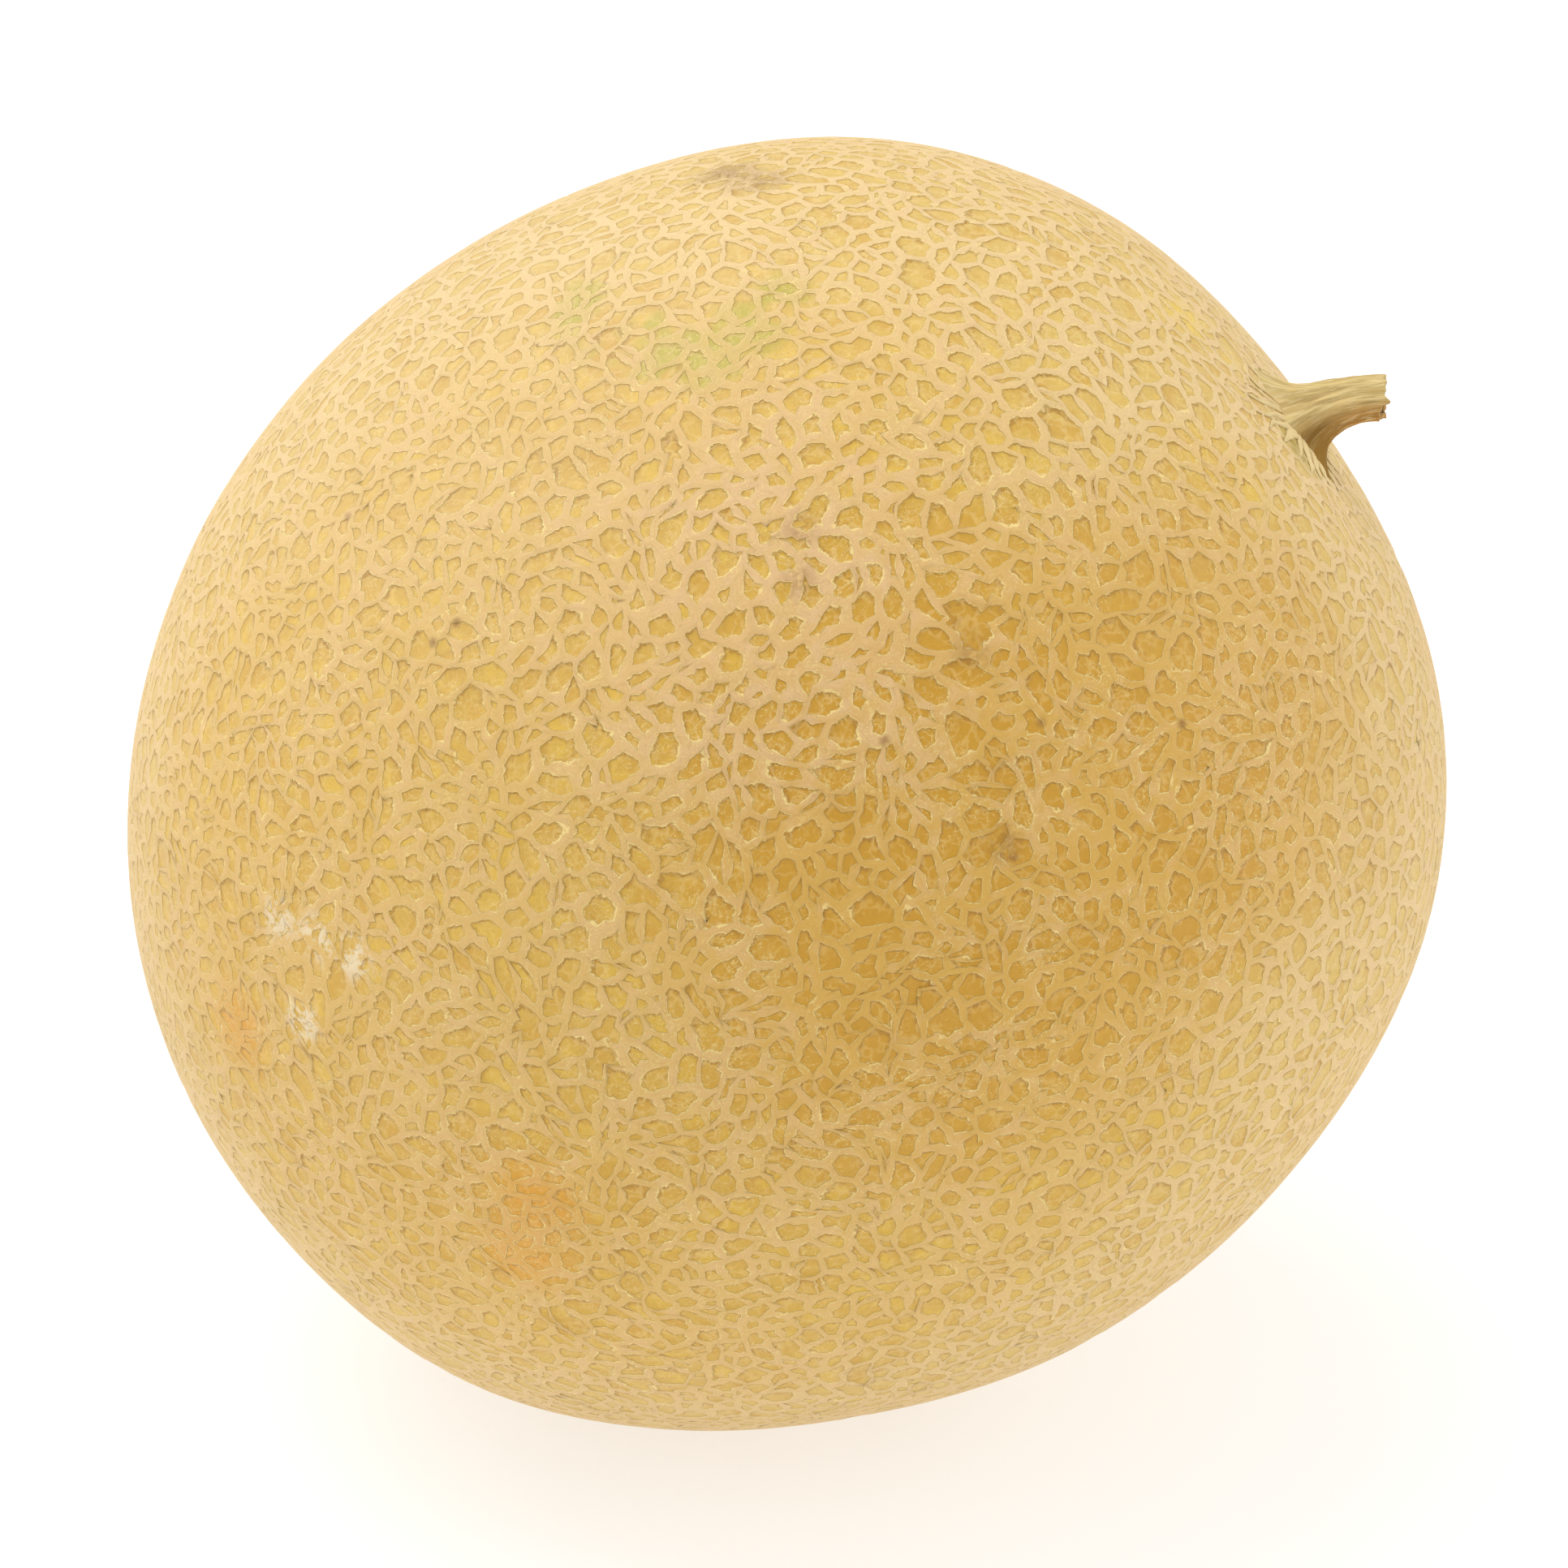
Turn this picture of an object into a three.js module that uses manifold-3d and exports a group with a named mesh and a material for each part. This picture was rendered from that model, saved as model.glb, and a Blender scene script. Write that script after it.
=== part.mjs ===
// A cantaloupe melon at rest on a small flat spot, with its dried stem pointing up and towards +X.
// Millimetres, +Z up. The origin lies on the flat spot, straight below the fruit's centre.
// The raised net of the rind is larger than life: about 13 mm from ridge to ridge.
import * as THREE from "three";
import { ConvexHull } from "three/addons/math/ConvexHull.js";
import { mergeVertices } from "three/addons/utils/BufferGeometryUtils.js";
import Module from "manifold-3d";

// Fruit: a slightly long spheroid about the stem axis, measured over the crests of the net.
const GIRTH_DIAMETER = 150;
const POLAR_LENGTH = 161.4;
const STEM_ELEVATION = 38.5; // degrees from the surface it rests on up to the stem axis
const CENTRE_HEIGHT = 75.15; // above the flat spot, which is cut 2 mm into the rind

// Swellings (+) and flats (-) of the fruit: rise in mm, spread and place in degrees.
const STEM_END_FLAT = { rise: -4.2, spread: 20 };
const SHOULDER_RING = { rise: 0.95, spread: 17, fromStem: 48 };
const LOW_BULGE = { rise: 1.2, spread: 14, azimuth: -140, elevation: -52 };
const LOW_FLAT = { rise: -1.15, spread: 13, azimuth: -72, elevation: -63 };

// Raised net
const NET_CELLS = 450;
const NET_HEIGHT = 1.1; // crest above the windows between the ridges
const RIDGE_TOP = 1.2; // from a corner of the net to the edge of its flat band, towards the window's middle
const RIDGE_FOOT = 2.5; // and to the edge of the window
const WINDOW_LIMIT = 0.5; // most of the way to its middle that a small window may lose
const SITE_JITTER = 0.32; // share of the even spacing that a window is pushed aside
const NET_SEED = 11;
const NET_ROUGHNESS = 0.22; // share by which the crest rises and falls along the net
const NET_WAVES = [
  new THREE.Vector3(7, 0, 4), // radians for each unit of a direction's x, y and z
  new THREE.Vector3(0, 6, -5),
  new THREE.Vector3(9, -3, 0),
];
const NET_STARTS = 12.5; // distance from the stem axis where the net begins
const NET_IS_FULL = 18; // and where it reaches its full height

// Dried stem
const STEM_REACH = new THREE.Vector3(10.8, -0.2, 3.8); // from its foot on the rind to its cut end
const STEM_FOOT_RADIUS = 4.7;
const STEM_END_RADIUS = 2.1;
const STEM_TAPER = 0.33; // share of the length in which the foot's extra thickness falls to about a third
const STEM_RIM_FLARE = 0.3; // at the cut end
const STEM_RIM_LENGTH = 1.2;
const STEM_RIBS = 7;
const STEM_RIB_DEPTH = 0.07; // share of the radius
const STEM_TWIST = 2; // radians that the ribs turn through from foot to cut end
const STEM_HOLLOW = 1.6; // depth of the dished cut end
const STEM_SIDES = 35;
const STEM_RINGS = 13;
const RING_CROWDING = 1.6; // above 1, the rings stand closer together near the rind
const STEM_SUNK = 2.6; // how far the flared foot starts below the rind, before it is trimmed to it
const TOE_REACH = 6.2; // how far the longest toes spread beyond the foot
const TOE_SOFTNESS = 1.35; // height in which a toe falls to about a third
const TOE_LOWEST = -1; // distance from the rind, inwards, past which a toe spreads no further
const TOE_LOBES = [
  { size: 0.3, count: 5, turn: 0.6 },
  { size: 0.2, count: 3, turn: -1.2 },
];
const PEG_RADIUS = 3.0; // root of the stem in the fruit
const PEG_DEPTH = 5;
const PEG_SIDES = 24;
const CLEARANCE = 0.3; // between the stem and the rind
const TRIM_SIDES = 96; // of the bare ball that trims the stem's foot
const TRIM_RINGS = 64;

const GOLDEN_ANGLE = Math.PI * (3 - Math.sqrt(5));
const radians = THREE.MathUtils.degToRad;

const stemAxis = new THREE.Vector3(Math.cos(radians(STEM_ELEVATION)), 0, Math.sin(radians(STEM_ELEVATION)));
const towardsStem = new THREE.Quaternion().setFromUnitVectors(new THREE.Vector3(0, 0, 1), stemAxis);
const fruitCentre = new THREE.Vector3(0, 0, CENTRE_HEIGHT);

// Unit vector at an azimuth and elevation given in degrees.
function heading({ azimuth, elevation }) {
  const level = Math.cos(radians(elevation));
  return new THREE.Vector3(
    level * Math.cos(radians(azimuth)),
    level * Math.sin(radians(azimuth)),
    Math.sin(radians(elevation)),
  );
}

const bulgeHeading = heading(LOW_BULGE);
const flatHeading = heading(LOW_FLAT);

// A smooth hill of a swelling's rise, at this many degrees from its middle.
const hill = ({ rise, spread }, degrees) => rise * Math.exp(-((degrees / spread) ** 2));

// Distance from the fruit's centre to the crests of its net, in a unit direction.
function rindRadius(direction) {
  const degreesFrom = (other) => THREE.MathUtils.radToDeg(direction.angleTo(other));
  const along = direction.dot(stemAxis);
  const polar = POLAR_LENGTH / 2;
  const girth = GIRTH_DIAMETER / 2;
  const spheroid = 1 / Math.sqrt((along / polar) ** 2 + (1 - along * along) / girth ** 2);
  const fromStem = degreesFrom(stemAxis);
  return (
    spheroid +
    hill(STEM_END_FLAT, fromStem) +
    hill(SHOULDER_RING, fromStem - SHOULDER_RING.fromStem) +
    hill(LOW_BULGE, degreesFrom(bulgeHeading)) +
    hill(LOW_FLAT, degreesFrom(flatHeading))
  );
}

// Point of the rind in a unit direction, sunk below the crests by a depth.
function rindPoint(direction, depth = 0) {
  return direction.clone().multiplyScalar(rindRadius(direction) - depth).add(fruitCentre);
}

// Height of the net in a unit direction: none under the stem, uneven elsewhere.
function netHeight(direction) {
  const fromAxis = rindRadius(direction) * Math.sin(direction.angleTo(stemAxis));
  const stemSide = direction.dot(stemAxis) > 0;
  const fade = stemSide ? THREE.MathUtils.smoothstep(fromAxis, NET_STARTS, NET_IS_FULL) : 1;
  const ripple = (rates, turn) => Math.sin(rates.dot(direction) + turn);
  const wave = NET_WAVES.reduce((product, rates, turn) => product * ripple(rates, turn), 1);
  return NET_HEIGHT * fade * (1 + NET_ROUGHNESS * wave);
}

// Repeatable random numbers from 0 to 1.
function seededRandom(seed) {
  let state = seed;
  return () => {
    state = (state + 0x6d2b79f5) | 0;
    let mixed = Math.imul(state ^ (state >>> 15), 1 | state);
    mixed = (mixed + Math.imul(mixed ^ (mixed >>> 7), 61 | mixed)) ^ mixed;
    return ((mixed ^ (mixed >>> 14)) >>> 0) / 2 ** 32;
  };
}

// One point on the unit sphere for each window of the net, evenly spread and then pushed aside.
function windowSites() {
  const random = seededRandom(NET_SEED);
  const push = Math.sqrt((4 * Math.PI) / NET_CELLS) * SITE_JITTER;
  return Array.from({ length: NET_CELLS }, (unused, index) => {
    const height = 1 - (2 * index + 1) / NET_CELLS;
    const level = Math.sqrt(1 - height * height);
    const turn = index * GOLDEN_ANGLE;
    const aside = new THREE.Vector3(random() - 0.5, random() - 0.5, random() - 0.5);
    return new THREE.Vector3(level * Math.cos(turn), level * Math.sin(turn), height)
      .addScaledVector(aside, 2 * push)
      .normalize()
      .applyQuaternion(towardsStem);
  });
}

// The windows of the net: each is the cell of the places nearest to its site. A cell's corners are where
// three cells meet, one for each face of the hull of the sites, and are listed counterclockwise.
function windowCells() {
  const sites = windowSites();
  const faces = new ConvexHull().setFromPoints(sites).faces;
  const cells = new Map(sites.map((site) => [site, { corners: [] }]));
  const cellsRound = (face) => [0, 1, 2].map((side) => cells.get(face.getEdge(side).head().point));
  faces.forEach((face) => cellsRound(face).forEach((cell) => cell.corners.push(face)));
  for (const [site, cell] of cells) {
    const right = new THREE.Vector3().crossVectors(site, cell.corners[0].normal).normalize();
    const ahead = new THREE.Vector3().crossVectors(site, right);
    const angle = ({ normal }) => Math.atan2(normal.dot(ahead), normal.dot(right));
    cell.corners.sort((one, other) => angle(one) - angle(other));
    cell.middle = new THREE.Vector3();
    cell.corners.forEach((face) => cell.middle.add(face.normal));
    cell.middle.normalize();
  }
  return { faces, cells, cellsRound };
}

// The rind: windows lie a step below the flat bands of the net, and steep facets join the two.
function netGeometry() {
  const { faces, cells, cellsRound } = windowCells();
  const vertices = [];
  const triangles = [];
  const addQuad = (one, two, three, four) => triangles.push(one, two, three, one, three, four);
  // One vertex for each corner of a cell, moved from the corner towards the cell's middle.
  const addLoop = ({ corners, middle }, inset, depthAt) =>
    corners.map(({ normal }) => {
      const reach = normal.distanceTo(middle) * (GIRTH_DIAMETER / 2);
      const share = Math.min(inset / reach, (WINDOW_LIMIT * inset) / RIDGE_FOOT);
      const direction = normal.clone().lerp(middle, share).normalize();
      return vertices.push(rindPoint(direction, depthAt(direction))) - 1;
    });
  for (const cell of cells.values()) {
    const kerb = addLoop(cell, RIDGE_TOP, (direction) => NET_HEIGHT - netHeight(direction));
    const sill = addLoop(cell, RIDGE_FOOT, () => NET_HEIGHT);
    kerb.forEach((corner, place) => {
      const next = (place + 1) % kerb.length;
      addQuad(corner, kerb[next], sill[next], sill[place]);
      if (place > 1) triangles.push(sill[0], sill[place - 1], sill[place]);
    });
    cell.kerbAt = new Map(cell.corners.map((face, place) => [face, kerb[place]]));
  }
  for (const face of faces) {
    triangles.push(...cellsRound(face).map((cell) => cell.kerbAt.get(face)));
    for (let side = 0; side < 3; side++) {
      const edge = face.getEdge(side);
      const across = edge.twin.face;
      if (faces.indexOf(across) < faces.indexOf(face)) continue;
      const left = cells.get(edge.tail().point).kerbAt;
      const right = cells.get(edge.head().point).kerbAt;
      addQuad(left.get(across), right.get(across), right.get(face), left.get(face));
    }
  }
  return new THREE.BufferGeometry().setFromPoints(vertices).setIndex(triangles);
}

// The stem before it is trimmed: a ribbed shaft along a bent line, whose foot spreads into toes.
function stemGeometry() {
  const foot = rindPoint(stemAxis, NET_HEIGHT);
  const cutEnd = foot.clone().add(STEM_REACH);
  const elbow = foot.clone().addScaledVector(stemAxis, STEM_REACH.length() / 2);
  const line = new THREE.QuadraticBezierCurve3(foot, elbow, cutEnd);
  const length = line.getLength();
  const right = new THREE.Vector3(0, 1, 0);
  const shape = new THREE.CylinderGeometry(1, 1, 1, STEM_SIDES, STEM_RINGS);
  const position = shape.getAttribute("position");
  for (let index = 0; index < position.count; index++) {
    const share = position.getY(index) + 0.5;
    const distance = (length + STEM_SUNK) * share ** RING_CROWDING - STEM_SUNK;
    const along = THREE.MathUtils.clamp(distance / length, 0, 1);
    const angle = Math.atan2(position.getZ(index), position.getX(index));
    const isRim = Math.hypot(position.getX(index), position.getZ(index)) > 0.5;
    const tangent = line.getTangent(along);
    const ahead = new THREE.Vector3().crossVectors(right, tangent);
    const outward = right.clone().multiplyScalar(Math.cos(angle)).addScaledVector(ahead, Math.sin(angle));
    const point = line.getPointAt(along).addScaledVector(tangent, Math.min(distance, 0));
    if (isRim) point.addScaledVector(outward, stemRadius(angle, distance, length));
    else if (along === 1) point.addScaledVector(tangent, -STEM_HOLLOW);
    position.setXYZ(index, ...point);
  }
  return shape;
}

// Radius of the stem at an angle round it and a distance along it from the rind.
function stemRadius(angle, distance, length) {
  const along = THREE.MathUtils.clamp(distance / length, 0, 1);
  const shaft = STEM_END_RADIUS + (STEM_FOOT_RADIUS - STEM_END_RADIUS) * Math.exp(-along / STEM_TAPER);
  const rib = 1 + STEM_RIB_DEPTH * Math.cos(STEM_RIBS * angle + STEM_TWIST * along);
  const rim = STEM_RIM_FLARE * Math.exp(-(length - distance) / STEM_RIM_LENGTH);
  const lobe = ({ size, count, turn }) => size * Math.cos(count * angle + turn);
  const spread = TOE_LOBES.reduce((sum, entry) => sum + lobe(entry), 0.5);
  const toe = TOE_REACH * spread * spread * Math.exp(-Math.max(distance, TOE_LOWEST) / TOE_SOFTNESS);
  return shaft * rib + rim + toe;
}

// Ball of the rind's own shape without its net, grown by a gap, to trim what rests on it.
function bareRind(gap) {
  const shape = new THREE.SphereGeometry(1, TRIM_SIDES, TRIM_RINGS);
  const position = shape.getAttribute("position");
  const direction = new THREE.Vector3();
  for (let index = 0; index < position.count; index++) {
    direction.fromBufferAttribute(position, index).normalize();
    position.setXYZ(index, ...rindPoint(direction, NET_HEIGHT - gap));
  }
  return shape;
}

// Rod along the stem axis between two heights above the rind.
function stemRod(radius, from, to) {
  const middle = rindPoint(stemAxis, NET_HEIGHT - (from + to) / 2);
  const shape = new THREE.CylinderGeometry(radius, radius, to - from, PEG_SIDES);
  shape.applyQuaternion(new THREE.Quaternion().setFromUnitVectors(new THREE.Vector3(0, 1, 0), stemAxis));
  return shape.translate(...middle);
}

const wasm = await Module();
wasm.setup();

// A closed geometry as a solid that can be joined and cut.
function solid(geometry) {
  const bare = geometry.clone();
  bare.deleteAttribute("normal");
  bare.deleteAttribute("uv");
  const merged = mergeVertices(bare, 1e-4);
  return new wasm.Manifold(
    new wasm.Mesh({
      numProp: 3,
      vertProperties: new Float32Array(merged.getAttribute("position").array),
      triVerts: new Uint32Array(merged.index.array),
    }),
  );
}

// A named mesh of a solid, with its own colour and roughness.
function piece(name, body, color, roughness) {
  const { vertProperties, triVerts } = body.getMesh();
  const geometry = new THREE.BufferGeometry()
    .setAttribute("position", new THREE.BufferAttribute(vertProperties, 3))
    .setIndex(new THREE.BufferAttribute(triVerts, 1));
  geometry.computeVertexNormals();
  const mesh = new THREE.Mesh(geometry, new THREE.MeshStandardMaterial({ color, roughness, metalness: 0 }));
  mesh.name = name;
  return mesh;
}

function melon() {
  const size = GIRTH_DIAMETER;
  const below = new THREE.BoxGeometry(size, size, size).translate(0, 0, -size / 2);
  const socket = stemRod(PEG_RADIUS + CLEARANCE, -PEG_DEPTH - CLEARANCE, STEM_SUNK);
  const body = solid(netGeometry()).subtract(solid(below)).subtract(solid(socket));
  return piece("melon", body, 0xd9b77c, 0.6);
}

function stem() {
  const resting = solid(stemGeometry()).subtract(solid(bareRind(CLEARANCE)));
  const body = resting.add(solid(stemRod(PEG_RADIUS, -PEG_DEPTH, STEM_SUNK)));
  return piece("stem", body, 0x94794f, 0.85);
}

const fruit = new THREE.Group();
fruit.name = "cantaloupe_melon";
fruit.add(melon(), stem());

export default fruit;
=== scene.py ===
"""Dresses a packed cantaloupe melon: its netted rind, its dried stem, and a plain pale stage."""

import math
import random

import bmesh
import bpy
from bpy.props import FloatProperty, FloatVectorProperty, IntProperty, PointerProperty
from mathutils import Matrix, Vector, noise


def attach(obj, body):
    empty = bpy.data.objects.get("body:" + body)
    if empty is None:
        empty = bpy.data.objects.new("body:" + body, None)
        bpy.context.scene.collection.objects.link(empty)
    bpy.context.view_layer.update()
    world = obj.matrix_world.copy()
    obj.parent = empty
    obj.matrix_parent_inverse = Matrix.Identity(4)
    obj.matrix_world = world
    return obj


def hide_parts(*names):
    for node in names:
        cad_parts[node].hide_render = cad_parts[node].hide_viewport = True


bl_info = {
    "name": "Cantaloupe Melon",
    "version": (1, 0, 0),
    "blender": (4, 5, 0),
    "location": "View3D > Sidebar > Melon",
    "description": "Builds a netted cantaloupe melon with its dried stem round a packed frame",
    "category": "Add Mesh",
}

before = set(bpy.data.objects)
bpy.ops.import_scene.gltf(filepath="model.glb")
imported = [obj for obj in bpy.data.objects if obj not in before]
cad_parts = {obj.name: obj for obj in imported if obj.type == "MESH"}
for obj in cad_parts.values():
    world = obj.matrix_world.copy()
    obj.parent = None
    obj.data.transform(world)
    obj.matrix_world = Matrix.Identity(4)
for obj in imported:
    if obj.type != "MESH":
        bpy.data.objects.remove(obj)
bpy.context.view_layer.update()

MM = 0.001
GOLDEN_ANGLE = math.pi * (3 - math.sqrt(5))

# Swellings (+) and flats (-) of the fruit, as in its solid: rise in metres, spread and place in degrees.
STEM_END_FLAT = {"rise": -4.2 * MM, "spread": 20}
SHOULDER_RING = {"rise": 0.95 * MM, "spread": 17, "from_stem": 48}
LOW_BULGE = {"rise": 1.2 * MM, "spread": 14, "azimuth": -140, "elevation": -52}
LOW_FLAT = {"rise": -1.15 * MM, "spread": 13, "azimuth": -72, "elevation": -63}

# The photograph: a square frame, seen level with +Y to the back and from above.
PHOTO_SIDE = 1932
PHOTO_CENTRE_X = 965.4
PHOTO_CENTRE_Y = 974.4
PHOTO_PIXEL = 0.09635 * MM
VIEW_ELEVATION = math.radians(26.2)
CAMERA_LENS = 120  # mm, on a sensor of 36 mm
SENSOR = 36
FOCAL_DISTANCE = PHOTO_SIDE * PHOTO_PIXEL * CAMERA_LENS / SENSOR  # where the frame is as wide as the photo


def distance_option(name, description, default):
    """A length in metres that a user may change."""
    return FloatProperty(name=name, description=description, default=default, min=0, unit="LENGTH",
                         subtype="DISTANCE", precision=5)


def colour_option(name, description, default):
    """A linear colour that a user may change."""
    return FloatVectorProperty(name=name, description=description, default=default, size=3, min=0, max=1,
                               subtype="COLOR")


def srgb(red, green, blue):
    """Linear colour of three screen values from 0 to 255."""
    def linear(value):
        share = value / 255
        return share / 12.92 if share <= 0.04045 else ((share + 0.055) / 1.055) ** 2.4
    return linear(red), linear(green), linear(blue)


class FruitShape(bpy.types.PropertyGroup):
    """Form of the fruit, measured over the crests of its net."""

    girth: distance_option("Girth diameter", "Across the middle, square to the stem axis", 150 * MM)
    polar: distance_option("Polar length", "Stem end to blossom end, before the flattening", 161.4 * MM)
    centre: distance_option("Centre height", "Height of the fruit's centre above the flat spot", 75.15 * MM)
    stem_elevation: FloatProperty(name="Stem elevation", description="Angle of the stem axis above level",
                                  default=math.radians(38.5), subtype="ANGLE", unit="ROTATION")


class NetShape(bpy.types.PropertyGroup):
    """Sizes of the raised corky net."""

    windows: IntProperty(name="Windows", description="Windows between the ridges, before some are left out",
                         default=8300, min=100)
    half_width: distance_option("Ridge half width", "From a ridge's crest to the window", 0.62 * MM)
    relief: distance_option("Relief", "Height of the crests above the windows", 0.22 * MM)
    sunk: distance_option("Crest depth", "How far the crests stay under the solid's crests", 0.3 * MM)
    waviness: distance_option("Waviness", "How far the ridges wander from straight lines", 0.9 * MM)
    seed: IntProperty(name="Seed", description="Start of the random draws", default=23)


class RindColours(bpy.types.PropertyGroup):
    """Colours of the rind."""

    window: colour_option("Window", "Skin between the ridges", srgb(209, 167, 68))
    ripe_window: colour_option("Ripe window", "The same on the ripest side", srgb(201, 150, 44))
    pale_window: colour_option("Pale window", "The same on the pale sides", srgb(214, 180, 96))
    green_window: colour_option("Unripe window", "The same in the greenish patches", srgb(186, 170, 58))
    yellow_window: colour_option("Yellow window", "The same in the yellow patches", srgb(236, 198, 60))
    orange_window: colour_option("Orange window", "The same in the orange patches", srgb(220, 154, 42))
    cork: colour_option("Cork", "Net of the rind", srgb(219, 181, 108))
    ripe_cork: colour_option("Ripe cork", "The same on the ripest side", srgb(213, 169, 82))
    pale_cork: colour_option("Pale cork", "The same on the pale sides", srgb(226, 196, 140))
    pink_cork: colour_option("Pink cork", "Patches of the net", srgb(226, 188, 140))
    rim: colour_option("Rim", "Thin pale line along the edges of the net", srgb(242, 214, 138))
    # Painted shade along the foot of the ridges; the same colour also draws the net's fibre lines and dark
    # flecks.
    shade_and_fibre: colour_option("Groove", "Thin line along the foot of a ridge", srgb(166, 120, 44))
    # Olive skin by the stem's foot; where it lies under the stem it is in part painted shadow of the stem.
    olive: colour_option("Olive", "Skin at the foot of the stem", srgb(168, 146, 52))
    stain: colour_option("Stain", "Brown dots and smudges", srgb(134, 86, 36))
    # Colour of healed scratches, also used for the painted highlight towards the upper left.
    scar_and_highlight: colour_option("Scar", "Healed scratches", srgb(236, 222, 190))


class StemShape(bpy.types.PropertyGroup):
    """Sizes of the dried stem."""

    reach: FloatVectorProperty(name="Reach", description="From its foot on the rind to its cut end", size=3,
                               default=(10.8 * MM, -0.2 * MM, 3.8 * MM), subtype="XYZ", unit="LENGTH")
    foot_radius: distance_option("Foot radius", "Radius of the shaft where it leaves the rind", 4.7 * MM)
    end_radius: distance_option("End radius", "Radius of the shaft near its cut end", 2.1 * MM)
    toe_reach: distance_option("Toe reach", "How far the longest toes spread beyond the foot", 6.2 * MM)


class StemColours(bpy.types.PropertyGroup):
    """Colours of the dried stem."""

    tan: colour_option("Tan", "Upper side", srgb(218, 194, 132))
    pinkish: colour_option("Pinkish", "Under side", srgb(192, 142, 76))
    olive: colour_option("Olive", "Under side of the foot", srgb(128, 94, 20))
    brown: colour_option("Brown", "Dark streaks", srgb(138, 106, 50))
    fibre: colour_option("Fibre", "Pale streaks", srgb(236, 218, 168))
    strand: colour_option("Strand", "Ends of the strands on the rind", srgb(238, 214, 156))
    hollow: colour_option("Hollow", "Inside of the cut end", srgb(84, 64, 38))


class Term:
    """An output socket of a shader. Arithmetic on terms and numbers adds Math nodes."""

    def __init__(self, shader, socket):
        self.shader = shader
        self.socket = socket

    def math(self, operation, *others):
        values = dict(enumerate((self, *others)))
        return self.shader.node("ShaderNodeMath", {"operation": operation}, values)

    def __add__(self, other):
        return self.math("ADD", other)

    def __mul__(self, other):
        return self.math("MULTIPLY", other)

    def __sub__(self, other):
        return self.math("SUBTRACT", other)

    def __rsub__(self, other):
        return self.shader.node("ShaderNodeMath", {"operation": "SUBTRACT"}, {0: other, 1: self})

    __radd__ = __add__
    __rmul__ = __mul__

    def step(self, low, high):
        """0 below low, 1 above high and a smooth rise between; a fall where low is above high."""
        ends = {"From Min": low, "From Max": high}
        if low > high:
            ends = {"From Min": high, "From Max": low, "To Min": 1.0, "To Max": 0.0}
        settings = {"interpolation_type": "SMOOTHSTEP"}
        return self.shader.node("ShaderNodeMapRange", settings, {"Value": self, **ends})


class Shader:
    """A material under construction."""

    def __init__(self, name):
        self.material = bpy.data.materials.new(name)
        self.material.use_nodes = True
        self.tree = self.material.node_tree
        self.surface = self.tree.nodes["Principled BSDF"]
        coordinates = self.tree.nodes.new("ShaderNodeTexCoord")
        self.place = Term(self, coordinates.outputs["Object"])

    def node(self, kind, settings, values, output=0):
        """Adds a node, sets it up, fills or links its sockets and returns one of its outputs."""
        made = self.tree.nodes.new(kind)
        for key, value in settings.items():
            setattr(made, key, value)
        for key, value in values.items():
            self.fill(made.inputs[key], value)
        return Term(self, made.outputs[output])

    def fill(self, socket, value):
        """Links a term to a socket, or sets a plain value on it."""
        if isinstance(value, Term):
            self.tree.links.new(value.socket, socket)
        elif socket.type == "RGBA" and len(value) == 3:
            socket.default_value = (*value, 1.0)
        else:
            socket.default_value = value

    def set(self, **values):
        """Fills sockets of the surface: roughness, base_color and so on."""
        for key, value in values.items():
            self.fill(self.surface.inputs[key.replace("_", " ").title()], value)

    def noise(self, scale, detail=2.0, roughness=0.5, place=None):
        """Cloudy pattern from 0 to 1, with about scale clouds a metre."""
        values = {"Vector": place or self.place, "Scale": scale, "Detail": detail, "Roughness": roughness}
        return self.node("ShaderNodeTexNoise", {}, values)

    def attribute(self, name, output="Fac"):
        """A value kept on the piece's points."""
        return self.node("ShaderNodeAttribute", {"attribute_name": name}, {}, output)

    def mix(self, share, low, high):
        """Colour low, turning into colour high as share goes from 0 to 1."""
        made = self.tree.nodes.new("ShaderNodeMix")
        made.data_type = "RGBA"
        for socket, value in zip((made.inputs[0], made.inputs[6], made.inputs[7]), (share, low, high)):
            self.fill(socket, value)
        return Term(self, made.outputs[2])

    def near(self, point, radius, softness):
        """1 within a radius of a point, falling to 0 over a soft edge."""
        ends = {0: self.place, 1: point}
        away = self.node("ShaderNodeVectorMath", {"operation": "DISTANCE"}, ends, "Value")
        return away.step(radius + softness, radius)

    def bump(self, height, distance, strength):
        """Shading as if the surface rose by height times distance."""
        values = {"Height": height, "Distance": distance, "Strength": strength}
        normal = self.node("ShaderNodeBump", {}, values)
        self.fill(self.surface.inputs["Normal"], normal)


def fruit_shape():
    return bpy.context.scene.melon_fruit


def fruit_centre():
    return Vector((0, 0, fruit_shape().centre))


def stem_axis():
    elevation = fruit_shape().stem_elevation
    return Vector((math.cos(elevation), 0, math.sin(elevation)))


def heading(place):
    """Unit vector at a place's azimuth and elevation."""
    azimuth, elevation = math.radians(place["azimuth"]), math.radians(place["elevation"])
    level = math.cos(elevation)
    return Vector((level * math.cos(azimuth), level * math.sin(azimuth), math.sin(elevation)))


BULGE_HEADING = heading(LOW_BULGE)
FLAT_HEADING = heading(LOW_FLAT)


def hill(swelling, degrees):
    """Rise of a swelling, this many degrees from its middle."""
    return swelling["rise"] * math.exp(-((degrees / swelling["spread"]) ** 2))


def degrees_between(one, other):
    return math.degrees(math.acos(max(-1.0, min(1.0, one.dot(other)))))


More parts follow.
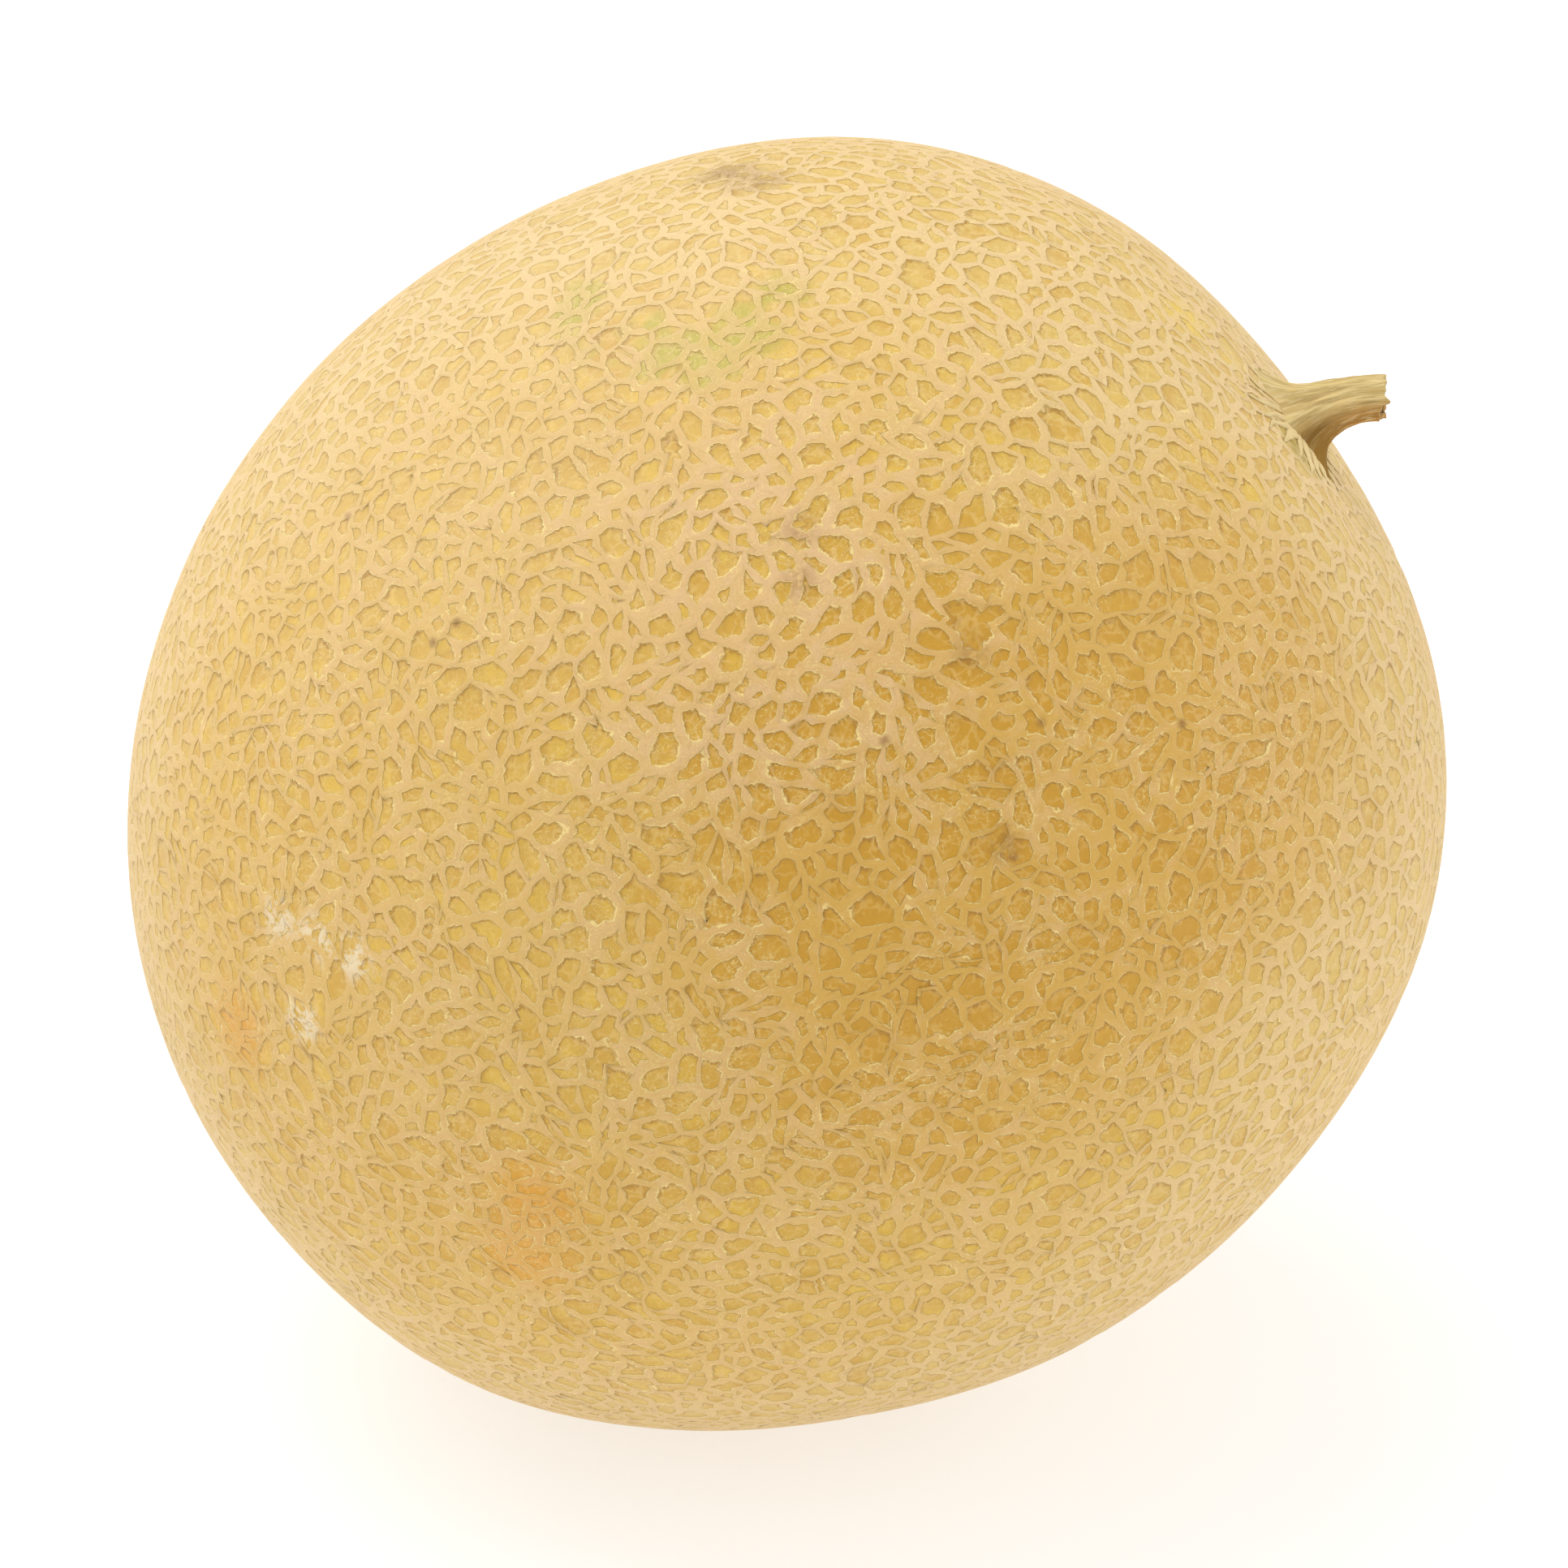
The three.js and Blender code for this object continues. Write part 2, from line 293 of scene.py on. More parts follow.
def rind_radius(direction):
    """Distance from the fruit's centre to the solid's crests, in a unit direction."""
    shape = fruit_shape()
    along = direction.dot(stem_axis())
    spheroid = 1 / math.sqrt((2 * along / shape.polar) ** 2 + (1 - along * along) * (2 / shape.girth) ** 2)
    from_stem = degrees_between(direction, stem_axis())
    return (
        spheroid
        + hill(STEM_END_FLAT, from_stem)
        + hill(SHOULDER_RING, from_stem - SHOULDER_RING["from_stem"])
        + hill(LOW_BULGE, degrees_between(direction, BULGE_HEADING))
        + hill(LOW_FLAT, degrees_between(direction, FLAT_HEADING))
    )


def rind_point(direction, depth=0.0):
    """Point under the solid's crests by a depth, in a unit direction."""
    return fruit_centre() + direction * (rind_radius(direction) - depth)


def view_axes():
    """The photograph's right, up and towards the camera."""
    rise = VIEW_ELEVATION
    return (
        Vector((1, 0, 0)),
        Vector((0, math.sin(rise), math.cos(rise))),
        Vector((0, -math.cos(rise), math.sin(rise))),
    )


def camera_distance():
    """From the fruit's centre to the camera, so that its outline, nearer by half its girth, fills the photo
    as it should."""
    return math.hypot(FOCAL_DISTANCE, fruit_shape().girth / 2)


def seen(x, y):
    """Point of the rind that the photograph shows at a pixel."""
    right, up, towards = view_axes()
    on_screen = right * (x - PHOTO_CENTRE_X) + up * (PHOTO_CENTRE_Y - y)
    depth = 0.0
    for _ in range(8):
        aside = on_screen * PHOTO_PIXEL * (camera_distance() - depth) / FOCAL_DISTANCE
        direction = (aside + towards * depth).normalized()
        depth = math.sqrt(max(rind_radius(direction) ** 2 - aside.length_squared, 0))
    return rind_point(direction)


def smoothstep(value, low, high):
    share = max(0.0, min(1.0, (value - low) / (high - low)))
    return share * share * (3 - 2 * share)


def show(mesh_data, name, node, material):
    """Makes a finished mesh an object that rides on the part and stands for a node."""
    piece = bpy.data.objects.new(name, mesh_data)
    bpy.context.scene.collection.objects.link(piece)
    mesh_data.materials.append(material)
    mesh_data.polygons.foreach_set("use_smooth", [True] * len(mesh_data.polygons))
    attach(piece, "root")
    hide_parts(node)
    return piece


# Rind

SITE_JITTER = 0.52  # share of the even spacing that a window is pushed aside
BENT_SHARE = 0.3  # share of the ridges, the longest, that get a middle point
GAP_SHARE = 0.12  # share of those points where the ridge nearly dies out
GAP_LEVEL = 0.3  # its height there, as a share of the full height
EDGE_WANDER = 0.7  # share by which the ridges' edges wander in and out
WIDTH_WANDER = 0.7  # share by which the ridges round whole windows narrow and widen
TIGHTEST_WINDOW = 0.3  # least distance of an edge from its window's middle, as a share of the crest's
WARP = 0.024  # radians by which whole groups of windows are drawn out and squeezed
WINDOW_CROWN = 0.05 * MM  # a window's middle above its edge
RIPPLE_RATE = 33  # how fast a ridge's waves change over the unit sphere
WARP_RATE = 9  # and the drawing out of whole groups of windows
WIDTH_RATE = 16
EDGE_RATE = 70
LEAST_WIDTH = 0.25  # of a ridge, as a share of the half width
MEAN_RELIEF = 0.85  # share of the full relief
RELIEF_WANDER = 0.3  # share by which it rises and falls
RELIEF_RATE = 5
STEM_RELIEF = 0.35  # share of the relief that is left round the stem
FADE_START = 4 * MM  # distance from the stem axis where the relief begins to grow
FADE_END = 14 * MM
THIN = 0.0001  # width on the unit sphere at which the windows are cut, before they are shaped
FINE_PULL = (-0.07, -0.11, 0.04)  # the windows crowd together towards this side
COARSE_SIDE = (0.10, -0.93, 0.36)  # heading of the side with the largest windows
COARSE_RATE = 2.2  # how fast the coarseness changes over the unit sphere
COARSE_WANDER = 0.4
LEFT_OUT_ALL_ROUND = 0.01  # share of the windows
LEFT_OUT_MORE = 0.07  # share left out besides where the net is coarsest
LIT_SIDE = (-0.3, 0.4, 0.87)  # heading from which the ridges' edges look lit
SORT_HEADING = Vector((0.6180, 0.2718, 0.7331))  # a slanting line, along which no two edges lie level


def coarseness(direction):
    """Share of the lattice's windows that are left out: most where the net is coarse."""
    facing = direction.dot(Vector(COARSE_SIDE).normalized())
    cloud = noise.noise(direction * COARSE_RATE)
    return LEFT_OUT_ALL_ROUND + LEFT_OUT_MORE * smoothstep(facing + COARSE_WANDER * cloud, 0.5, 1.0)


def window_sites(net):
    """A bmesh with one point of the unit sphere for each window of the net."""
    draw = random.Random(net.seed)
    sites = bmesh.new()
    sites.verts.layers.float.new("net")
    sites.verts.layers.float.new("upper")
    push = math.sqrt(4 * math.pi / net.windows) * SITE_JITTER
    for index in range(net.windows):
        height = 1 - (2 * index + 1) / net.windows
        level = math.sqrt(1 - height * height)
        turn = index * GOLDEN_ANGLE
        direction = Vector((level * math.cos(turn), level * math.sin(turn), height))
        aside = Vector((draw.uniform(-push, push), draw.uniform(-push, push), draw.uniform(-push, push)))
        direction = (direction + aside + Vector(FINE_PULL)).normalized()
        if draw.random() > coarseness(direction):
            sites.verts.new(direction)
    return sites


def place_in_order(part):
    """A number that orders edges or faces by their place alone, so that each run makes the same net."""
    middle = sum((vert.co for vert in part.verts), Vector()) / len(part.verts)
    return middle.dot(SORT_HEADING)


def sites_to_cells(mesh):
    """Turns the points into cells: one face round each point, with corners between the points."""
    points = mesh.verts[:]
    bmesh.ops.convex_hull(mesh, input=points)
    mesh.edges.sort(key=place_in_order)
    mesh.faces.sort(key=place_in_order)
    hull_edges = mesh.edges[:]
    bmesh.ops.poke(mesh, faces=mesh.faces[:])
    bmesh.ops.rotate_edges(mesh, edges=hull_edges, use_ccw=False)
    bmesh.ops.dissolve_verts(mesh, verts=points)


def bend_ridges(mesh, net):
    """Gives the longest ridges a middle point, lets all points wander, and thins out some ridges. The net
    layer is 1 on a full crest and less where the ridge dies out."""
    level = mesh.verts.layers.float["net"]
    by_length = sorted(mesh.edges, key=lambda edge: edge.calc_length())
    longest = by_length[int(len(by_length) * (1 - BENT_SHARE)):]
    bmesh.ops.bisect_edges(mesh, edges=longest, cuts=1)
    amount = net.waviness / (fruit_shape().girth / 2)
    draw = random.Random(net.seed)
    noise.seed_set(net.seed)
    for vert in mesh.verts:
        is_middle = len(vert.link_edges) == 2
        vert[level] = GAP_LEVEL if is_middle and draw.random() < GAP_SHARE else 1.0
        ripple = noise.noise_vector(vert.co * RIPPLE_RATE) * amount
        vert.co += ripple + noise.noise_vector(vert.co * WARP_RATE) * WARP
        vert.co.normalize()


def cut_windows(mesh, net):
    """Insets every cell, so that its outer loop is the crest and its inner loop the window's edge, and
    gives every window a middle. The net layer is 0 on an edge and -1 in a middle, and the upper layer goes
    from 1 on a window's edge at the lit side to -1 at the other."""
    width = net.half_width / (fruit_shape().girth / 2)
    level = mesh.verts.layers.float["net"]
    upper = mesh.verts.layers.float["upper"]
    lit = Vector(LIT_SIDE).normalized()
    cells = mesh.faces[:]
    bmesh.ops.inset_individual(mesh, faces=cells, thickness=THIN, use_even_offset=False)
    for cell in cells:
        middle = cell.calc_center_median()
        broad = 1 + WIDTH_WANDER * noise.noise(middle * WIDTH_RATE)
        for vert in cell.verts:
            outward = vert.co - middle
            inset = width * max(LEAST_WIDTH, broad + EDGE_WANDER * noise.noise(vert.co * EDGE_RATE))
            vert[upper] = outward.normalized().dot(lit)
            vert[level] = 0.0
            vert.co = middle + outward * max(TIGHTEST_WINDOW, 1 - inset / outward.length)
    for middle in bmesh.ops.poke(mesh, faces=cells)["verts"]:
        middle[level] = -1.0
        middle[upper] = 0.0


def rind_mesh(net):
    """The rind, with its net as relief."""
    mesh = window_sites(net)
    sites_to_cells(mesh)
    bend_ridges(mesh, net)
    cut_windows(mesh, net)
    level = mesh.verts.layers.float["net"]
    axis = stem_axis()
    for vert in mesh.verts:
        direction = vert.co.normalized()
        from_axis = rind_radius(direction) * math.sin(math.radians(degrees_between(direction, axis)))
        full = smoothstep(from_axis, FADE_START, FADE_END) if direction.dot(axis) > 0 else 1.0
        strength = MEAN_RELIEF + RELIEF_WANDER * noise.noise(direction * RELIEF_RATE)
        strength *= STEM_RELIEF + (1 - STEM_RELIEF) * full
        depth = net.sunk + net.relief
        if vert[level] > 0:
            depth -= net.relief * strength * vert[level]
        elif vert[level] < 0:
            depth -= WINDOW_CROWN
        vert.co = rind_point(direction, depth)
        vert.co.z = max(vert.co.z, 0.0)
    bmesh.ops.recalc_face_normals(mesh, faces=mesh.faces)
    made = bpy.data.meshes.new("netted_rind")
    mesh.to_mesh(made)
    mesh.free()
    return made


# Marks of the rind, each at the pixel of the photograph that shows its middle
RICH_SIDE = (760, 1120)
PALE_NET = (940, 730)
RIPE_SIDE = (1200, 1080)
RIPE_PATCHES = ((650, 1500), (1540, 670), (1650, 960))
# Middle of a painted highlight, a broad whitening of the rind.
PAINTED_LIGHT_SIDE = (560, 440)
GREEN_PATCHES = ((715, 372), (760, 400), (810, 425), (865, 438), (905, 410), (945, 368))
BROWN_DOTS = ((530, 790), (560, 765), (425, 635), (1250, 1057), (1284, 889), (1090, 910), (1459, 891))
TOP_SMUDGES = ((885, 210), (920, 222), (955, 214), (905, 205))
BROWN_SMUDGES = ((985, 650), (985, 712), (1200, 800), (1240, 1040))
SCARS = ((340, 1130), (385, 1155), (430, 1180), (370, 1260))
ORANGE_PATCHES = ((660, 1480), (640, 1550), (290, 1265))
YELLOW_PATCHES = ((1480, 400), (1515, 430), (1450, 375), (1560, 590), (1500, 570))
FAINT_SIDE = (390, 980)
# Olive patches by the stem's foot: partly olive skin, partly painted shadow of the stem on the rind.
OLIVE_PATCHES = ((1592, 532), (1606, 556))


def rind_material(colours):
    """Yellow skin in the windows of a pale corky net."""
    shader = Shader("netted_rind")
    net = shader.attribute("net")
    fine = shader.noise(1500, 3, 0.6) - 0.5
    medium = shader.noise(480, 2) - 0.5
    broad = shader.noise(190, 2) - 0.5
    patch = shader.noise(85, 3) - 0.5
    cloud = shader.noise(26, 3) - 0.5

    def marks(pixels, radius, softness):
        """1 on any of these marks, 0 away from them."""
        total = 0.0
        for pixel in pixels:
            total = shader.near(seen(*pixel), radius, softness) + total
        return total

    pale_net = shader.near(seen(*PALE_NET), 8 * MM, 26 * MM)
    ragged = net + fine * 0.7 + medium * 0.9 + broad * 0.5 + pale_net * 0.12
    cork = ragged.step(-0.04, 0.12)
    rim = ragged.step(0.0, 0.08) * ragged.step(0.27, 0.15)
    # Band at the foot of the ridges, where shade is painted.
    shade_and_fibre = ragged.step(-0.36, -0.08) * ragged.step(0.06, -0.02)
    fibres = ((ragged + broad * 1.6 + fine * 0.5) * 11).math("SINE").step(-0.2, 1.0)
    upper = shader.attribute("upper")

    warp = shader.node("ShaderNodeTexNoise", {}, {"Vector": shader.place, "Scale": 520.0}, 1)
    warped = shader.node("ShaderNodeVectorMath", {"operation": "MULTIPLY_ADD"},
                         {0: warp, 1: (3 * MM, 3 * MM, 3 * MM), 2: shader.place})
    crackle = shader.node("ShaderNodeTexVoronoi", {"feature": "DISTANCE_TO_EDGE"},
                          {"Vector": warped, "Scale": 560.0, "Randomness": 1.0}, "Distance")
    hairs = ((medium + fine * 0.35) * 45).math("SINE").step(0.7, 1.0) * (broad + patch + 0.5).step(0.4, 0.6)
    thread = crackle.step(0.13, 0.03) * (medium + 0.5).step(0.34, 0.54) * (1 - cork * 0.6)

    orange = marks(ORANGE_PATCHES, 1 * MM, 7 * MM)
    ripe_side = shader.near(seen(*RIPE_SIDE), 12 * MM, 42 * MM) + marks(RIPE_PATCHES, 3 * MM, 28 * MM) * 0.5
    ripe = (ripe_side + cloud * 0.5 + patch * 0.4).step(0.1, 0.9)
    # Pale sides, everywhere but the front round RICH_SIDE: partly paler skin, partly painted sheen of light
    # grazing the fruit's outline.
    pale = (1.2 - shader.near(seen(*RICH_SIDE), 50 * MM, 40 * MM) + cloud * 0.4).step(0.1, 1.2)
    green = (marks(GREEN_PATCHES, 1.5 * MM, 6 * MM) * (patch + broad + 0.5).step(0.35, 0.65)).step(0.0, 0.9)
    yellow = marks(YELLOW_PATCHES, 0.5 * MM, 10 * MM) * (patch + broad + 0.5).step(0.3, 0.75)
    faint = shader.near(seen(*FAINT_SIDE), 22 * MM, 40 * MM)
    tone = shader.noise(260, 2, place=warped)
    skin = shader.mix(pale, colours.window, colours.pale_window)
    skin = shader.mix(tone.step(0.48, 0.34) * 0.45, skin, colours.ripe_window)
    skin = shader.mix(tone.step(0.5, 0.66) * (0.3 - pale * 0.2), skin, colours.yellow_window)
    skin = shader.mix(ripe, skin, colours.ripe_window)
    skin = shader.mix(orange * 0.8, skin, colours.orange_window)
    skin = shader.mix(green, skin, colours.green_window)
    skin = shader.mix(yellow * 0.45, skin, colours.yellow_window)
    net_colour = shader.mix(pale, colours.cork, colours.pale_cork)
    net_colour = shader.mix(ripe, net_colour, colours.ripe_cork)
    pinkish = (patch + medium + 0.5).step(0.4, 0.75) * 0.4 + pale_net * 0.45
    net_colour = shader.mix(pinkish, net_colour, colours.pink_cork)
    net_colour = shader.mix(orange * 0.4, net_colour, colours.orange_window)
    net_colour = shader.mix(green * 0.3, net_colour, colours.green_window)
    net_colour = shader.mix(yellow * 0.18, net_colour, colours.yellow_window)

    skin = shader.mix(faint * 0.16, skin, net_colour)
    # Painted shade at the foot of the ridges, stronger on window edges towards LIT_SIDE, whose walls face
    # away from the light.
    colour = shader.mix(shade_and_fibre * (upper * 0.55 + medium * 1.6 + 0.3), skin, colours.shade_and_fibre)
    colour = shader.mix(thread * 0.38, colour, shader.mix(0.4, net_colour, colours.rim))
    colour = shader.mix(cork, colour, net_colour)
    colour = shader.mix(fibres * 0.1 + (fine + 0.5).step(0.52, 0.8) * 0.22, colour, colours.shade_and_fibre)
    colour = shader.mix(hairs * 0.45, colour, colours.rim)
    # Pale line along the net's edges: the net's own paler edge, and in part painted highlight, a little
    # stronger on window edges away from LIT_SIDE, whose walls face the light.
    colour = shader.mix(rim * (patch + medium - upper * 0.15 + 0.62), colour, colours.rim)
    # Olive patches: the skin's own olive green, and in part painted shadow of the stem on the rind beneath
    # it.
    olive = marks(OLIVE_PATCHES, 0.5 * MM, 4.5 * MM)
    colour = shader.mix(olive * 0.42, colour, colours.olive)
    stain = (marks(BROWN_DOTS, 0.2 * MM, 0.8 * MM) * 0.75
             + marks(BROWN_SMUDGES, 0.3 * MM, 3.2 * MM) * (medium + fine + 0.5).step(0.25, 0.55) * 0.34
             + marks(TOP_SMUDGES, 1.5 * MM, 3.5 * MM) * (medium + fine + 0.5).step(0.2, 0.5) * 0.22)
    colour = shader.mix(stain * (fine * 1.2 + 1), colour, colours.stain)
    # Painted highlight: the rind is whitened towards the upper left.
    painted_light = shader.near(seen(*PAINTED_LIGHT_SIDE), 14 * MM, 40 * MM)
    colour = shader.mix(painted_light * 0.12, colour, colours.scar_and_highlight)
    scarred = marks(SCARS, 1 * MM, 3 * MM) * (fine + medium + 0.5).step(0.46, 0.6)
    colour = shader.mix(scarred * 0.65, colour, colours.scar_and_highlight)
    shader.set(base_color=colour, roughness=0.52 + 0.2 * cork)
    height = cork * 0.6 + rim * 0.15 + hairs * 0.12 + fine * 0.4
    shader.bump(height, 0.22 * MM, 0.8)
    surface = shader.surface.inputs
    surface["Specular IOR Level"].default_value = 0.35
    surface["Sheen Weight"].default_value = 0.08
    surface["Sheen Roughness"].default_value = 0.5
    return shader.material


# Stem

STEM_SIDES = 120
STEM_RINGS = 80
RING_CROWDING = 1.6  # above 1, the rings stand closer together near the rind
STEM_RIBS = 7
RIB_DEPTH = 0.07  # share of the radius
STEM_TWIST = 2  # radians that the ribs turn through from foot to cut end
COARSE_FIBRES = 0.10  # share of the radius by which the fibres rise and sink
FINE_FIBRES = 0.07
STEM_TAPER = 0.42  # share of the length in which the foot's extra thickness falls to about a third
STEM_SUNK = 2.6 * MM
TOE_SOFTNESS = 1.35 * MM
END_SHARE = 0.965  # share of the line from foot to cut end that the shaft takes
RIM_FLARE = 0.3 * MM
RIM_LENGTH = 1.2 * MM
HOLLOW_DEPTH = 1.6 * MM
TORN_END = 0.5 * MM
BITE_DEPTH = 1.1 * MM  # how far the rim is broken away at the viewer's lower side
BITE_ANGLE = 140
BITE_SPREAD = 38

STRAND_SIDES = 10
STRAND_RINGS = 22
STRAND_START = 3.6 * MM  # from the stem axis
STRAND_SWAY = 5  # degrees by which a strand bends to either side
STRAND_DEPTH = 0.43 * MM  # of its middle, under the solid's crests
STRAND_HEIGHT = 0.12 * MM  # above its middle, near its end
STRAND_ROOT_RISE = 0.08 * MM  # and how much higher it is at its start
# Strands of the stem that run on over the rind: degrees round the axis from the rind's upper side towards
# the viewer, reach from the axis and width in millimetres
STRANDS = (
    (-75, 9.0, 1.0), (-30, 9.5, 0.9), (5, 10.5, 0.9), (24, 12.0, 0.9), (36, 14.0, 0.9), (45, 16.5, 1.0),
    (54, 17.0, 1.0), (63, 15.5, 1.1), (72, 13.5, 1.6), (85, 12.0, 1.2), (96, 12.5, 1.8), (109, 12.0, 1.5),
    (122, 11.0, 1.9), (138, 10.0, 1.6), (160, 9.0, 1.4), (186, 9.0, 1.0), (215, 9.0, 1.0), (250, 9.0, 1.0),
)


def stem_radius(stem, angle, distance, length):
    """Radius of the stem at an angle round it and a distance along it from the rind."""
    along = max(0.0, min(1.0, distance / length))
    shaft = stem.end_radius + (stem.foot_radius - stem.end_radius) * math.exp(-along / STEM_TAPER)
    ribs = RIB_DEPTH * math.cos(STEM_RIBS * angle + STEM_TWIST * along)
    around = Vector((math.cos(angle), math.sin(angle), 0.35 * along))
    fibres = COARSE_FIBRES * noise.noise(around * 5) + FINE_FIBRES * noise.noise(around * 14)
    ragged = 1 + noise.noise(Vector((math.cos(angle), math.sin(angle), 4)) * 2.5)
    rim = RIM_FLARE * ragged * math.exp(-(length - distance) / RIM_LENGTH)
    lobes = 0.5 + 0.3 * math.cos(5 * angle + 0.6) + 0.2 * math.cos(3 * angle - 1.2)
    strands = 1 + 0.5 * noise.noise(around * 4 + Vector((3, 0, 0)))
    toe = stem.toe_reach * lobes * lobes * strands * math.exp(-max(distance, -1 * MM) / TOE_SOFTNESS)
    return shaft * (1 + ribs + fibres) + rim + toe


def stem_line(stem, along):
    """Place and direction at a share of the bent line from the foot to the cut end."""
    foot = rind_point(stem_axis(), 1.1 * MM)
    reach = Vector(stem.reach)
    elbow = foot + stem_axis() * reach.length / 2
    tip = foot + reach
    place = foot * (1 - along) ** 2 + elbow * 2 * along * (1 - along) + tip * along * along
    direction = (elbow - foot) * (1 - along) + (tip - elbow) * along
    return place, direction.normalized()


def new_tube(sides, rings):
    """A bmesh with a capped tube of radius 1 from height 0 to height 1, and an empty grain layer."""
    tube = bmesh.new()
    tube.verts.layers.float_vector.new("grain")
    bmesh.ops.create_cone(tube, cap_ends=True, segments=sides, radius1=1, radius2=1, depth=1,
                          matrix=Matrix.Translation((0, 0, 0.5)))
    upright = [edge for edge in tube.edges if abs(edge.verts[0].co.z - edge.verts[1].co.z) > 0.5]
    bmesh.ops.subdivide_edges(tube, edges=upright, cuts=rings - 1)
    return tube


def shaft(stem):
    """The stem's shaft, ribbed and bent, with a foot that spreads into toes and a hollow cut end."""
    tube = new_tube(STEM_SIDES, STEM_RINGS)
    grain = tube.verts.layers.float_vector["grain"]
    length = Vector(stem.reach).length
    across = Vector((0, 1, 0))
    cap = max(tube.faces, key=lambda face: (len(face.verts), face.calc_center_median().z))
    for vert in tube.verts:
        angle = math.atan2(vert.co.y, vert.co.x)
        distance = (length + STEM_SUNK) * vert.co.z ** RING_CROWDING - STEM_SUNK
        along = max(0.0, min(1.0, distance / length))
        place, direction = stem_line(stem, along * END_SHARE)
        outward = across * math.cos(angle) + across.cross(direction) * math.sin(angle)
        vert[grain] = Vector((math.cos(angle), math.sin(angle), along))
        bite = math.exp(-((math.degrees(angle) - BITE_ANGLE) / BITE_SPREAD) ** 2)
        torn = noise.noise(Vector((math.cos(angle), math.sin(angle), 9)) * 3) * TORN_END - bite * BITE_DEPTH
        vert.co = (place + direction * (min(distance, 0.0) + torn * along ** 8)
                   + outward * stem_radius(stem, angle, distance, length))
    inwards = -stem_line(stem, END_SHARE)[1] * HOLLOW_DEPTH
    for share, depth in ((0.82, 0.0), (0.75, 0.4), (0.4, 0.6)):
        bmesh.ops.inset_individual(tube, faces=[cap], thickness=0.01 * MM)
        middle = cap.calc_center_median()
        for vert in cap.verts:
            vert.co = middle + (vert.co - middle) * share + inwards * depth
            vert[grain] = vert[grain] * share + Vector((0, 0, 1 + depth - share))
    return tube


def strand(turn, reach, width):
    """A flat tapered strand that runs from the stem's foot out over the rind."""
    tube = new_tube(STRAND_SIDES, STRAND_RINGS)
    grain = tube.verts.layers.float_vector["grain"]
    axis = stem_axis()
    uphill = Vector((-axis.z, 0, axis.x))
    viewer = Vector((0, -1, 0))
    for vert in tube.verts:
        share = vert.co.z
        swing = math.radians(turn + STRAND_SWAY * noise.noise(Vector((turn, 2.2 * share, 0))))
        aside = uphill * math.cos(swing) + viewer * math.sin(swing)
        from_axis = (STRAND_START + (reach * MM - STRAND_START) * share) / rind_radius(axis)
        direction = (axis * math.sqrt(1 - from_axis * from_axis) + aside * from_axis).normalized()
        spindle = min(1.0, 5 * share) * (1 - share ** 2.5)
        narrow = spindle * (1 + 0.5 * noise.noise(Vector((5 * share, turn, 3))))
        sideways = direction.cross(aside).normalized()
        rise = STRAND_ROOT_RISE * (1 - share) + STRAND_HEIGHT
        foot = rind_point(direction, STRAND_DEPTH)
        vert[grain] = Vector((vert.co.x, vert.co.y, -share))
        vert.co = (foot + sideways * vert.co.x * narrow * width * MM / 2
                   + direction * vert.co.y * rise * spindle)
    return tube


def stem_mesh(stem):
    """The dried stem, with the strands that hold it to the rind."""
    whole = bmesh.new()
    for tube in (shaft(stem), *(strand(*sizes) for sizes in STRANDS)):
        piece = bpy.data.meshes.new("tube")
        tube.to_mesh(piece)
        tube.free()
        whole.from_mesh(piece)
        bpy.data.meshes.remove(piece)
    bmesh.ops.recalc_face_normals(whole, faces=whole.faces)
    made = bpy.data.meshes.new("dried_stem")
    whole.to_mesh(made)
    whole.free()
    return made


def stem_material(colours):
    """Dry, fibrous stalk: olive at the foot, tan above, pinkish brown below, and pale where it ends in
    strands. The grain attribute holds a point's side of the shaft and its share of the length."""
    shader = Shader("dried_stem")
    grain = shader.attribute("grain", "Vector")
    low_side, along = (shader.node("ShaderNodeSeparateXYZ", {}, {0: grain}, axis) for axis in (1, 2))
    streak_place = shader.node("ShaderNodeVectorMath", {"operation": "MULTIPLY"}, {0: grain, 1: (1, 1, 0.3)})
    streaks = shader.noise(5, 4, 0.65, place=streak_place)
    fibres = shader.noise(17, 3, 0.6, place=streak_place)
    colour = shader.mix(low_side.step(-0.7, 0.7), colours.tan, colours.pinkish)
    colour = shader.mix(streaks.step(0.6, 0.42) * 0.4, colour, colours.brown)
    colour = shader.mix(fibres.step(0.48, 0.68) * 0.55, colour, colours.fibre)
    foot = along.step(0.75, 0.15) * along.step(-0.15, -0.02) * low_side.step(-0.8, 0.4)
    colour = shader.mix(foot * (streaks * 0.5 + 0.5), colour, colours.olive)
    colour = shader.mix(along.step(0.0, -0.08) * 0.92, colour, colours.strand)
    colour = shader.mix(along.step(1.02, 1.2), colour, colours.hollow)
    shader.set(base_color=colour, roughness=0.8)
    shader.bump(streaks * 0.6 + fibres * 0.4, 0.25 * MM, 0.7)
    shader.surface.inputs["Specular IOR Level"].default_value = 0.2
    return shader.material


# Stage

ROOM_STRENGTH = 0.69
LIGHT_DISTANCE = 0.9
# Heading, side in metres and power in watts of each light
LIGHTS = {
    "top_light": ((-0.35, 0.2, 1.0), 0.9, 5.4),
    "left_light": ((-1.0, -0.2, 0.45), 0.8, 1.2),
    "right_light": ((1.0, -0.1, 0.4), 0.8, 2.0),
}
FLOOR_COLOUR = (0.5, 0.5, 0.5)
FLOOR_GLOW = 0.6  # keeps the floor pale


